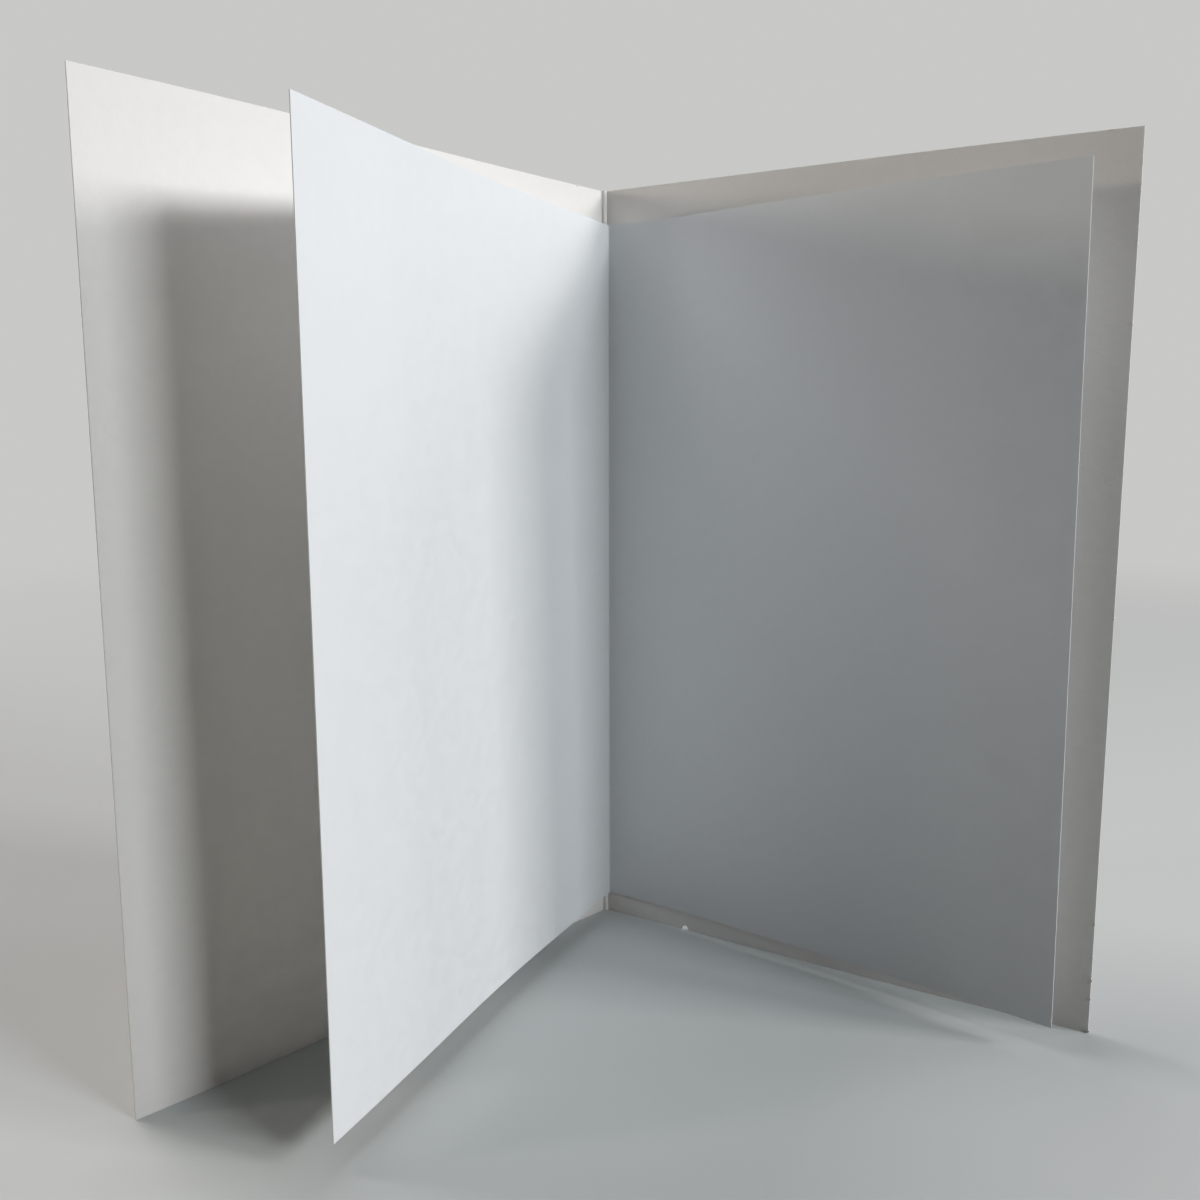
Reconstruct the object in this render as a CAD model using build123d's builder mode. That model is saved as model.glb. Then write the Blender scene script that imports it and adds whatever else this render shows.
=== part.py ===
from build123d import *
import math
import os

os.makedirs("parts", exist_ok=True)

# A blank greeting card that stands open like a book, with a folded paper insert.
# Millimetres. +Z is up, the fold is at the back and the free edges face -Y.
# The origin is the foot of the fold, at the middle of the card's thickness.
# A heading is the way a sheet runs from its fold, in degrees from -Y towards its own side.
# A turn is the change of heading along a stretch: positive leads away from the open side.

# Card blank: height, fold to free edge along the sheet, thickness
card_height = 152.4
panel_width = 101.6
card_thickness = 0.35

# Scored fold: radius of its inside, and the bead that the score raises there
score_radius = 0.4
bead_radius = 0.5
bead_skin = 0.04

# The panels are flat beside the fold and curl back from their bend line to the free edge.
# The left one first turns a little the other way.
bend_line = 50.0
left_flat_margin = 12.0
left_panel_heading = 51.0
left_panel_turn = -2.6
left_panel_curl = 5.2
right_panel_heading = 49.8
right_panel_curl = 2.8

# Paper insert, folded once, a little smaller than the card and clear of the ground
insert_height = 141.5
insert_foot = 4.2
paper_thickness = 0.15
paper_fold_radius = 0.2
left_leaf_width = 93.9
right_leaf_width = 96.1
bead_clearance = 0.6

# The left leaf stands free: flat, then a soft bend, then a slight curl to its edge
leaf_bend_start = 30.0
leaf_bend_end = 60.0
left_leaf_foot_heading = 32.4
left_leaf_foot_turn = -4.0
left_leaf_foot_curl = 1.8
left_leaf_top_heading = 33.5
left_leaf_top_turn = -5.6
left_leaf_top_curl = 1.7

# The right leaf is stuck down at its root and springs off the panel beyond it,
# further at the top than at the foot
spring_end = 20.0
right_leaf_foot_turn = -4.5
right_leaf_foot_curl = -2.2
right_leaf_top_turn = -11.3
right_leaf_top_curl = 6.9

# Adhesive strip between the root of the right leaf and the right panel
strip_width = 6.0
strip_thickness = 0.1
strip_end_gap = 4.0
strip_side_gap = 0.5

# Nick in the foot of the right panel: place from the fold along the panel, width and depth
nick_place = 20.4
nick_width = 1.3
nick_depth = 0.9
nick_cut = 3 * card_thickness

LEFT = -1
RIGHT = 1


def along(heading, side):
    """Unit vector of a heading on one side of the fold."""
    angle = math.radians(heading)
    return Vector(side * math.sin(angle), -math.cos(angle))


def inward(heading, side):
    """Unit vector square to a heading, towards the open side of the card."""
    angle = math.radians(heading)
    return Vector(-side * math.cos(angle), -math.sin(angle))


def fold_centre(apex, radius):
    """Centre of the arc that rounds the inside of a fold."""
    return apex + Vector(0, -radius)


def half_fold(apex, radius, heading, side):
    """Half of a fold's inside, from its apex to where the sheet runs straight."""
    return JernArc(apex, (side, 0), radius, -side * (90 - heading)) @ 1


def half_fold_length(radius, heading):
    """Length of half a fold along the sheet's inner face."""
    return radius * math.radians(90 - heading)


def course(start, heading, side, stretches):
    """The sheet's inner face from its fold to its free edge, as tangent stretches."""
    for length, turn in stretches:
        direction = along(heading, side)
        if turn:
            radius = length / math.radians(abs(turn))
            face = JernArc(start, (direction.X, direction.Y), radius, side * turn)
        else:
            face = Line(start, start + direction * length)
        start = face @ 1
        heading += turn


# Card cover: one sheet, scored and folded, with the bead along the inside of the fold
score_apex = Vector(0, -card_thickness / 2)
bead_centre = Vector(0, card_thickness / 2 - bead_skin - bead_radius)
panel_along = along(right_panel_heading, RIGHT)
panel_inward = inward(right_panel_heading, RIGHT)

with BuildPart() as card_cover:
    with BuildSketch():
        with BuildLine():
            course(
                half_fold(score_apex, score_radius, left_panel_heading, LEFT),
                left_panel_heading,
                LEFT,
                [
                    (left_flat_margin - half_fold_length(score_radius, left_panel_heading), 0),
                    (bend_line - left_flat_margin, left_panel_turn),
                    (panel_width - bend_line, left_panel_curl),
                ],
            )
            course(
                half_fold(score_apex, score_radius, right_panel_heading, RIGHT),
                right_panel_heading,
                RIGHT,
                [
                    (bend_line - half_fold_length(score_radius, right_panel_heading), 0),
                    (panel_width - bend_line, right_panel_curl),
                ],
            )
            offset(amount=card_thickness, side=Side.RIGHT)
        make_face()
        with Locations(bead_centre):
            Circle(bead_radius)
    extrude(amount=card_height)

    # The nick in the right panel's foot
    with BuildSketch(Plane(panel_along * nick_place, panel_along, panel_inward)):
        with BuildLine():
            ThreePointArc((-nick_width / 2, 0), (0, nick_depth), (nick_width / 2, 0))
            Line((nick_width / 2, 0), (-nick_width / 2, 0))
        make_face()
    extrude(amount=nick_cut, both=True, mode=Mode.SUBTRACT)

# The insert and its strip are laid on the right panel's inner face, beside the bead
margin_start = fold_centre(score_apex, score_radius) - panel_inward * score_radius
insert_start = margin_start + panel_along * (bead_radius + bead_clearance)

# Adhesive strip: flat on the right panel, behind the root of the right leaf
strip_start = insert_start + panel_along * strip_side_gap + Vector(0, 0, insert_foot + strip_end_gap)

with BuildPart() as adhesive_strip:
    with BuildSketch(Plane(strip_start, -panel_along, (0, 0, 1))):
        Rectangle(strip_width, strip_thickness, align=(Align.MAX, Align.MIN))
    extrude(amount=insert_height - 2 * strip_end_gap)

# Paper insert: one folded sheet, its foot and its top with headings of their own
root_length = strip_width + 2 * strip_side_gap
root_start = insert_start + panel_inward * (strip_thickness + paper_thickness)
insert_apex = root_start + panel_inward * paper_fold_radius + Vector(0, paper_fold_radius)


def insert_section(height, left_heading, left_turn, left_curl, right_turn, right_curl):
    """The folded paper cut level at one height."""
    with BuildSketch(Plane.XY.offset(height)) as section:
        with BuildLine():
            course(
                half_fold(insert_apex, paper_fold_radius, left_heading, LEFT),
                left_heading,
                LEFT,
                [
                    (leaf_bend_start - half_fold_length(paper_fold_radius, left_heading), 0),
                    (leaf_bend_end - leaf_bend_start, left_turn),
                    (left_leaf_width - leaf_bend_end, left_curl),
                ],
            )
            course(
                half_fold(insert_apex, paper_fold_radius, right_panel_heading, RIGHT),
                right_panel_heading,
                RIGHT,
                [
                    (root_length, 0),
                    (spring_end - root_length, right_turn),
                    (right_leaf_width - spring_end, right_curl),
                ],
            )
            offset(amount=paper_thickness, side=Side.RIGHT)
        make_face()
    return section.sketch


insert_foot_section = insert_section(
    insert_foot,
    left_leaf_foot_heading,
    left_leaf_foot_turn,
    left_leaf_foot_curl,
    right_leaf_foot_turn,
    right_leaf_foot_curl,
)
insert_top_section = insert_section(
    insert_foot + insert_height,
    left_leaf_top_heading,
    left_leaf_top_turn,
    left_leaf_top_curl,
    right_leaf_top_turn,
    right_leaf_top_curl,
)

with BuildPart() as paper_insert:
    loft([insert_foot_section, insert_top_section], ruled=True)

card_cover.part.label = "card_cover"
adhesive_strip.part.label = "adhesive_strip"
paper_insert.part.label = "paper_insert"

export_step(card_cover.part, "parts/card_cover.step")
export_step(adhesive_strip.part, "parts/adhesive_strip.step")
export_step(paper_insert.part, "parts/paper_insert.step")
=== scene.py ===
import math
import random

import bmesh
import bpy
from mathutils import Matrix, Vector
from mathutils.geometry import intersect_point_line


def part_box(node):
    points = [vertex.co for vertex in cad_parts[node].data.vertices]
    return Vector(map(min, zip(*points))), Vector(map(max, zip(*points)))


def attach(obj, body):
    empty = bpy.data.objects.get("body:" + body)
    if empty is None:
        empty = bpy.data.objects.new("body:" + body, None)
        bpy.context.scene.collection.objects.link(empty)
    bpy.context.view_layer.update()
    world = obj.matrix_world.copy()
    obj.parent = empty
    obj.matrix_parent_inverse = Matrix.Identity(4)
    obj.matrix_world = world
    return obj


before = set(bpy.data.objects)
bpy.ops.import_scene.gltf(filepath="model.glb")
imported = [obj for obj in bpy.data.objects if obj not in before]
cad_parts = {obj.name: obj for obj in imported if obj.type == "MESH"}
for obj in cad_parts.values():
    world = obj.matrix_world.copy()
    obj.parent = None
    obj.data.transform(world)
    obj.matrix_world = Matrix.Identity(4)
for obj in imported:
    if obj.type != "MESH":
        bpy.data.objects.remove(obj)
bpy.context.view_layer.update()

MM = 0.001


def point(x, y, z):
    """A point of the row frame, given in millimetres."""
    return Vector((x, y, z)) * MM


# Camera: the photo's viewing angle, in the photo's own 1200 x 1200 frame
PHOTO_SIZE = 1200
CAMERA_PLACE = point(-24.16, -231.32, 103.52)
CAMERA_YAW = 9.913
CAMERA_PITCH = 8.01
CAMERA_ROLL = 0.43
FOCAL_LENGTH_PX = 1103.5
PRINCIPAL_POINT_PX = (680.4, 591.9)
SENSOR_WIDTH = 36.0
CLIP_RANGE = (0.01, 20)

# Light: rectangular soft lamps at one distance that face the card. Each has its azimuth from +X
# towards +Y, elevation, width, height, level and colour. Level 1 lights a white sheet as white.
LAMP_AIM = point(0, -45, 80)
LAMP_DISTANCE = 1.2
LAMPS = {
    "front_light": (-44, 20, 0.32, 0.15, 0.515, (0.9, 0.93, 0.955)),
    "side_light": (-25, 21.4, 0.24, 0.24, 0.415, (0.99, 0.96, 0.93)),
    "right_fill": (0, 28, 0.3, 0.3, 0.1, (0.87, 0.88, 1)),
    "back_light": (143, 54, 0.6, 0.6, 0.545, (1, 0.925, 0.9)),
    "left_light": (184, 10, 0.14, 0.14, 0.18, (1, 0.9, 0.75)),
    "back_fill": (88, 40, 0.8, 0.8, 0.155, (1, 1, 1)),
}
ROOM_LIGHT = 0.02

# Ground and backdrop: their seen colours, what the ground sends back to the card, and where the
# ground fades into the backdrop
BACKDROP_COLOUR = (0.58, 0.58, 0.57)
GROUND_COLOUR = (0.58, 0.61, 0.61)
GROUND_BOUNCE = (0.16, 0.165, 0.15)
GROUND_FADE = (0.16, 0.9)
GROUND_RADIUS = 8.0
GROUND_SIDES = 96
GROUND_ROUGHNESS = 0.9
GROUND_GLOSS = 0.1

# Paper: the spread of its features, the depth of its cockle, and how its clouds vary it
CLOUD_RANGE = (0.35, 0.65)
CLOUD_SPREAD = 2 * MM
CLOUD_ROUGHNESS = (0.88, 0.76)
CLOUD_PASSAGE = (0.84, 1.16)
COCKLE = 0.16 * MM
COCKLE_SPREAD = 36 * MM
STRAND_SPREAD = 0.17 * MM
STRAND_STRETCH = (1, 1, 8)
GRAIN_SPREAD = 0.4 * MM
PAPER_GLOSS = 0.22

# Adhesive film
FILM_SHADES = ((0.8, 0.79, 0.74), (0.88, 0.88, 0.85))
FILM_SPREAD = 1.5 * MM
FILM_DETAIL = 2
FILM_STRETCH = (1, 1, 4)
FILM_RANGE = (0.3, 0.7)
FILM_ROUGHNESS = (0.3, 0.5)
FILM_RIPPLE = 0.02 * MM

# Cut edges: loose fibres stand out of them
FIBRE_SPACING = 2.6 * MM
FIBRE_LENGTH = (0.1 * MM, 0.34 * MM)
FIBRE_RADIUS = 0.011 * MM
FIBRE_THICKNESS = (0.7, 1.3)
FIBRE_TAPER = 0.7
FIBRE_CURL = 34
FIBRE_SCATTER = 0.5
FIBRE_STEPS = 4
FIBRE_SIDES = 4
FOOT_CLEARANCE = 0.1 * MM
SHARP_ANGLE = math.radians(60)
WELD_DISTANCE = 0.001 * MM

# Burrs of the card: a place beside a cut edge, the burr's width along it, and its height
BURRS = (
    (point(-5.8, -4.7, 152.4), 0.9 * MM, 0.2 * MM),
    (point(74.5, -61.7, 152.4), 1.2 * MM, 0.09 * MM),
    (point(78.4, -64.7, 147), 0.9 * MM, 0.09 * MM),
    (point(78.4, -64.7, 143.7), 0.6 * MM, 0.16 * MM),
    (point(78.4, -64.7, 134.6), 1.4 * MM, 0.08 * MM),
    (point(78.4, -64.7, 122.1), 0.8 * MM, 0.09 * MM),
    (point(78.4, -64.7, 74), 0.5 * MM, 0.17 * MM),
    (point(78.4, -64.7, 20.3), 0.8 * MM, 0.12 * MM),
    (point(78.4, -64.7, 14.1), 0.5 * MM, 0.09 * MM),
    (point(78.4, -64.7, 9.8), 0.7 * MM, 0.27 * MM),
    (point(78.4, -64.7, 6.4), 0.5 * MM, 0.24 * MM),
    (point(78.4, -64.7, 0.45), 0.8 * MM, 0.34 * MM),
)
BURR_THICKNESS = 0.16 * MM
BURR_END = 0.06
BURR_SWELL = (0.7, 1.1)
BURR_RAGGEDNESS = (0.85, 1.1)
BURR_STEPS = 7
BURR_SIDES = 8


def new_object(name, data):
    """An object in the scene that holds some data."""
    item = bpy.data.objects.new(name, data)
    bpy.context.scene.collection.objects.link(item)
    return item


def mesh_object(name, mesh, material):
    """An object in the scene made of a built mesh and one material."""
    data = bpy.data.meshes.new(name)
    mesh.to_mesh(data)
    mesh.free()
    data.materials.append(material)
    return new_object(name, data)


def add_camera():
    """The camera at the photo's place, with the photo's lens and framing."""
    data = bpy.data.cameras.new("camera")
    data.sensor_width = SENSOR_WIDTH
    data.lens = FOCAL_LENGTH_PX * SENSOR_WIDTH / PHOTO_SIZE
    data.shift_x = (PHOTO_SIZE / 2 - PRINCIPAL_POINT_PX[0]) / PHOTO_SIZE
    data.shift_y = (PRINCIPAL_POINT_PX[1] - PHOTO_SIZE / 2) / PHOTO_SIZE
    data.clip_start, data.clip_end = CLIP_RANGE
    turn = (
        Matrix.Rotation(math.radians(-CAMERA_YAW), 4, "Z")
        @ Matrix.Rotation(math.radians(90 - CAMERA_PITCH), 4, "X")
        @ Matrix.Rotation(math.radians(CAMERA_ROLL), 4, "Z")
    )
    camera = new_object("camera", data)
    camera.matrix_world = Matrix.Translation(CAMERA_PLACE) @ turn
    bpy.context.scene.camera = camera


def add_lamp(name, azimuth, elevation, width, height, level, colour):
    """A rectangular soft lamp that faces the card."""
    data = bpy.data.lights.new(name, "AREA")
    data.shape = "RECTANGLE"
    data.size = width
    data.size_y = height
    data.energy = level * (math.pi * LAMP_DISTANCE) ** 2
    data.color = colour
    a, e = math.radians(azimuth), math.radians(elevation)
    away = Vector((math.cos(a) * math.cos(e), math.sin(a) * math.cos(e), math.sin(e)))
    lamp = new_object(name, data)
    lamp.matrix_world = (
        Matrix.Translation(LAMP_AIM + away * LAMP_DISTANCE)
        @ away.to_track_quat("Z", "Y").to_matrix().to_4x4()
    )


def link(tree, source, target):
    """Join two node sockets."""
    tree.links.new(source, target)


def math_node(tree, operation, a, b):
    """The result of a Math node whose inputs are sockets or numbers."""
    node = tree.nodes.new("ShaderNodeMath")
    node.operation = operation
    for value, socket in ((a, node.inputs[0]), (b, node.inputs[1])):
        if isinstance(value, (int, float)):
            socket.default_value = value
        else:
            link(tree, value, socket)
    return node.outputs["Value"]


def mixed_colour(tree, factor, first, second):
    """A colour that goes from one to another as a socket's value goes from 0 to 1."""
    node = tree.nodes.new("ShaderNodeMix")
    node.data_type = "RGBA"
    node.inputs["A"].default_value = (*first, 1)
    node.inputs["B"].default_value = (*second, 1)
    link(tree, factor, node.inputs["Factor"])
    return node.outputs["Result"]


def mixed_shader(tree, factor, first, second):
    """A shader that goes from one to another as a socket's value goes from 0 to 1."""
    node = tree.nodes.new("ShaderNodeMixShader")
    link(tree, factor, node.inputs["Fac"])
    link(tree, first, node.inputs[1])
    link(tree, second, node.inputs[2])
    return node.outputs["Shader"]


def add_relief(tree, shader, height, distance):
    """Give a shader the relief of a socket's value, a distance high where the value is 1."""
    node = tree.nodes.new("ShaderNodeBump")
    node.inputs["Distance"].default_value = distance
    link(tree, height, node.inputs["Height"])
    link(tree, node.outputs["Normal"], shader.inputs["Normal"])


def seen_rays(tree):
    """1 for the rays of the camera and of reflections, which see the pale surroundings, else 0."""
    path = tree.nodes.new("ShaderNodeLightPath")
    return math_node(tree, "MAXIMUM", path.outputs["Is Camera Ray"], path.outputs["Is Glossy Ray"])


def add_room_light():
    """A dim even light from all sides, that the camera sees as the backdrop's own pale colour."""
    world = bpy.data.worlds.new("room")
    world.use_nodes = True
    tree = world.node_tree
    light = tree.nodes["Background"]
    light.inputs["Color"].default_value = (1, 1, 1, 1)
    light.inputs["Strength"].default_value = ROOM_LIGHT
    backdrop = tree.nodes.new("ShaderNodeBackground")
    backdrop.inputs["Color"].default_value = (*BACKDROP_COLOUR, 1)
    surface = mixed_shader(
        tree, seen_rays(tree), light.outputs["Background"], backdrop.outputs["Background"]
    )
    link(tree, surface, tree.nodes["World Output"].inputs["Surface"])
    bpy.context.scene.world = world


def new_material(name):
    """An empty node material, its tree and its Principled node."""
    material = bpy.data.materials.new(name)
    material.use_nodes = True
    return material, material.node_tree, material.node_tree.nodes["Principled BSDF"]


def ranged(tree, source, source_range, target_range, interpolation="LINEAR"):
    """A socket's value carried from one range to another, and held at its ends."""
    node = tree.nodes.new("ShaderNodeMapRange")
    node.interpolation_type = interpolation
    node.inputs["From Min"].default_value = source_range[0]
    node.inputs["From Max"].default_value = source_range[1]
    node.inputs["To Min"].default_value = target_range[0]
    node.inputs["To Max"].default_value = target_range[1]
    link(tree, source, node.inputs["Value"])
    return node.outputs["Result"]


def noise_node(tree, place, size, detail=0, stretch=(1, 1, 1)):
    """Noise with features of a size, which may be stretched along the axes."""
    scale = tree.nodes.new("ShaderNodeMapping")
    scale.inputs["Scale"].default_value = [1 / s for s in stretch]
    link(tree, place, scale.inputs["Vector"])
    node = tree.nodes.new("ShaderNodeTexNoise")
    node.inputs["Scale"].default_value = 1 / size
    node.inputs["Detail"].default_value = detail
    link(tree, scale.outputs["Vector"], node.inputs["Vector"])
    return node.outputs["Fac"]


def add_ground():
    """A plain pale ground, shadowed near the card, that runs out into the even backdrop."""
    material, tree, shader = new_material("ground")
    shader.inputs["Roughness"].default_value = GROUND_ROUGHNESS
    shader.inputs["Specular IOR Level"].default_value = GROUND_GLOSS
    seen = seen_rays(tree)
    colour = mixed_colour(tree, seen, GROUND_BOUNCE, GROUND_COLOUR)
    link(tree, colour, shader.inputs["Base Color"])

    place = tree.nodes.new("ShaderNodeNewGeometry")
    reach = tree.nodes.new("ShaderNodeVectorMath")
    reach.operation = "LENGTH"
    link(tree, place.outputs["Position"], reach.inputs[0])
    far = ranged(tree, reach.outputs["Value"], GROUND_FADE, (0, 1), "SMOOTHERSTEP")
    seen_far = math_node(tree, "MULTIPLY", far, seen)
    backdrop = tree.nodes.new("ShaderNodeEmission")
    backdrop.inputs["Color"].default_value = (*BACKDROP_COLOUR, 1)
    surface = mixed_shader(tree, seen_far, shader.outputs["BSDF"], backdrop.outputs["Emission"])
    link(tree, surface, tree.nodes["Material Output"].inputs["Surface"])

    mesh = bmesh.new()
    bmesh.ops.create_circle(mesh, cap_ends=True, segments=GROUND_SIDES, radius=GROUND_RADIUS)
    ground = mesh_object("ground", mesh, material)


def paper_material(name, colour, shade, through, tooth, press_print):
    """
    White uncoated paper. Its surface has a fine tooth, upright fibres, the soft print of the press
    and a faint cockle. Its colour is cloudy, and part of the light passes through.
    """
    material, tree, shader = new_material(name)
    place = tree.nodes.new("ShaderNodeTexCoord").outputs["Object"]

    # Colour: the clouds of the sheet's formation
    clouds = noise_node(tree, place, CLOUD_SPREAD)
    tint = mixed_colour(tree, ranged(tree, clouds, CLOUD_RANGE, (0, 1)), shade, colour)
    link(tree, tint, shader.inputs["Base Color"])

    # Relief in metres: cockle, print of the press, fibres that lie upright, and tooth
    strands = noise_node(tree, place, STRAND_SPREAD, stretch=STRAND_STRETCH)
    grain = noise_node(tree, place, GRAIN_SPREAD)
    relief = math_node(tree, "MULTIPLY", noise_node(tree, place, COCKLE_SPREAD), COCKLE)
    for form, depth in ((clouds, press_print), (strands, tooth / 2), (grain, tooth)):
        relief = math_node(tree, "ADD", relief, math_node(tree, "MULTIPLY", form, depth))
    add_relief(tree, shader, relief, 1)

    # Gloss: the denser clouds are a little smoother
    roughness = ranged(tree, clouds, CLOUD_RANGE, CLOUD_ROUGHNESS)
    link(tree, roughness, shader.inputs["Roughness"])
    shader.inputs["Specular IOR Level"].default_value = PAPER_GLOSS

    # Light passes through the sheet, and less of it through the denser clouds
    back_light = tree.nodes.new("ShaderNodeBsdfTranslucent")
    link(tree, tint, back_light.inputs["Color"])
    share = ranged(tree, clouds, CLOUD_RANGE, [through * part for part in CLOUD_PASSAGE])
    surface = mixed_shader(tree, share, shader.outputs["BSDF"], back_light.outputs["BSDF"])
    link(tree, surface, tree.nodes["Material Output"].inputs["Surface"])
    return material


def adhesive_material():
    """Clear-drying adhesive film with a faint ripple."""
    material, tree, shader = new_material("adhesive_film")
    place = tree.nodes.new("ShaderNodeTexCoord").outputs["Object"]
    ripple = noise_node(tree, place, FILM_SPREAD, FILM_DETAIL, FILM_STRETCH)
    link(tree, mixed_colour(tree, ripple, *FILM_SHADES), shader.inputs["Base Color"])
    link(tree, ranged(tree, ripple, FILM_RANGE, FILM_ROUGHNESS), shader.inputs["Roughness"])
    add_relief(tree, shader, ripple, FILM_RIPPLE)
    return material


def dress(node, material):
    """Give a CAD node its finished material."""
    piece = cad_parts[node]
    piece.data.materials.clear()
    piece.data.materials.append(material)


def cut_edges(node):
    """A sheet's sharp edges, as their two ends and the direction that leads away from the sheet."""
    mesh = bmesh.new()
    mesh.from_mesh(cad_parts[node].data)
    bmesh.ops.remove_doubles(mesh, verts=mesh.verts, dist=WELD_DISTANCE)
    mesh.normal_update()
    edges = []
    for edge in mesh.edges:
        if len(edge.link_faces) == 2 and edge.calc_face_angle() > SHARP_ANGLE:
            away = (edge.link_faces[0].normal + edge.link_faces[1].normal).normalized()
            edges.append((edge.verts[0].co.copy(), edge.verts[1].co.copy(), away))
    mesh.free()
    return edges


def distance_to_edge(place, edge):
    """How far a place is from a cut edge."""
    share = intersect_point_line(place, edge[0], edge[1])[1]
    return (place - edge[0].lerp(edge[1], min(max(share, 0), 1))).length


def close_tube(mesh, rings):
    """Join rings of vertices into a closed tube."""
    sides = len(rings[0])
    for low, high in zip(rings, rings[1:]):
        for i in range(sides):
            j = (i + 1) % sides
            mesh.faces.new((low[i], low[j], high[j], high[i]))
    mesh.faces.new(rings[0][::-1])
    mesh.faces.new(rings[-1])


def add_fibre(mesh, start, direction, length, radius, draw):
    """One loose fibre: a thin tapered tube that curls as it goes."""
    side = direction.orthogonal().normalized()
    turn_axis = (side + direction.cross(side) * draw.uniform(-1, 1)).normalized()
    turn = Matrix.Rotation(math.radians(draw.uniform(-FIBRE_CURL, FIBRE_CURL)), 3, turn_axis)
    place = start - direction * radius * 2
    rings = []
    for step in range(FIBRE_STEPS + 1):
        thickness = radius * (1 - FIBRE_TAPER * step / FIBRE_STEPS)
        side = (side - direction * side.dot(direction)).normalized()
        other = direction.cross(side)
        ring = []
        for i in range(FIBRE_SIDES):
            a = 2 * math.pi * i / FIBRE_SIDES
            ring.append(mesh.verts.new(place + (side * math.cos(a) + other * math.sin(a)) * thickness))
        rings.append(ring)
        place = place + direction * length / FIBRE_STEPS
        direction = turn @ direction
    close_tube(mesh, rings)


def add_piece(name, mesh, material):
    """Finish a built mesh as a piece that rides with the card."""
    bmesh.ops.recalc_face_normals(mesh, faces=mesh.faces)
    for face in mesh.faces:
        face.smooth = True
    piece = mesh_object(name, mesh, material)
    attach(piece, "root")


def add_edge_fibres(name, node, material, seed):
    """Loose fibres at random along a sheet's cut edges, none of them below its foot."""
    draw = random.Random(seed)
    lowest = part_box(node)[0][2]
    mesh = bmesh.new()
    for start, end, away in cut_edges(node):
        length = (end - start).length
        count = int(length / FIBRE_SPACING + draw.random())
        for _ in range(count):
            place = start.lerp(end, draw.random())
            scatter = Vector([draw.gauss(0, FIBRE_SCATTER) for _ in range(3)])
            direction = (away + scatter).normalized()
            if place.z - lowest < FIBRE_LENGTH[1] + FOOT_CLEARANCE:
                continue
            size = draw.uniform(*FIBRE_LENGTH)
            radius = FIBRE_RADIUS * draw.uniform(*FIBRE_THICKNESS)
            add_fibre(mesh, place, direction, size, radius, draw)
    add_piece(name, mesh, material)


def add_burr(mesh, edge, beside, width, height, draw):
    """A ragged flake that the blade pushed out of a cut edge, half sunk in it."""
    start, end, away = edge
    along = (end - start).normalized()
    side = along.cross(away)
    middle = start + along * (beside - start).dot(along)
    rings = []
    for step in range(BURR_STEPS + 1):
        share = step / BURR_STEPS
        swell = BURR_END + math.sin(math.pi * share) * draw.uniform(*BURR_SWELL)
        centre = middle + along * width * (share - 0.5)
        ring = []
        for i in range(BURR_SIDES):
            a = 2 * math.pi * i / BURR_SIDES
            out = away * height * math.cos(a) * draw.uniform(*BURR_RAGGEDNESS)
            across = side * BURR_THICKNESS * math.sin(a)
            ring.append(mesh.verts.new(centre + (out + across) * swell))
        rings.append(ring)
    close_tube(mesh, rings)


def add_burrs(name, node, material, seed):
    """The burrs of a sheet, each on the cut edge that is nearest to its place."""
    draw = random.Random(seed)
    edges = cut_edges(node)
    mesh = bmesh.new()
    for beside, width, height in BURRS:
        edge = min(edges, key=lambda e: distance_to_edge(beside, e))
        add_burr(mesh, edge, beside, width, height, draw)
    add_piece(name, mesh, material)


scene = bpy.context.scene
scene.view_settings.view_transform = "Standard"

add_camera()
add_room_light()
for name, setting in LAMPS.items():
    add_lamp(name, *setting)
add_ground()

card_stock = paper_material(
    "card_stock_finish",
    colour=(0.973, 0.962, 0.942),
    shade=(0.958, 0.947, 0.926),
    through=0.17,
    tooth=0.013 * MM,
    press_print=0.05 * MM,
)
insert_paper = paper_material(
    "insert_paper_finish",
    colour=(0.937, 0.962, 0.983),
    shade=(0.925, 0.95, 0.971),
    through=0.22,
    tooth=0.01 * MM,
    press_print=0.03 * MM,
)
dress("card_cover", card_stock)
dress("paper_insert", insert_paper)
dress("adhesive_strip", adhesive_material())

add_edge_fibres("card_edge_fibres", "card_cover", card_stock, seed=11)
add_edge_fibres("insert_edge_fibres", "paper_insert", insert_paper, seed=12)
add_burrs("card_burrs", "card_cover", card_stock, seed=13)
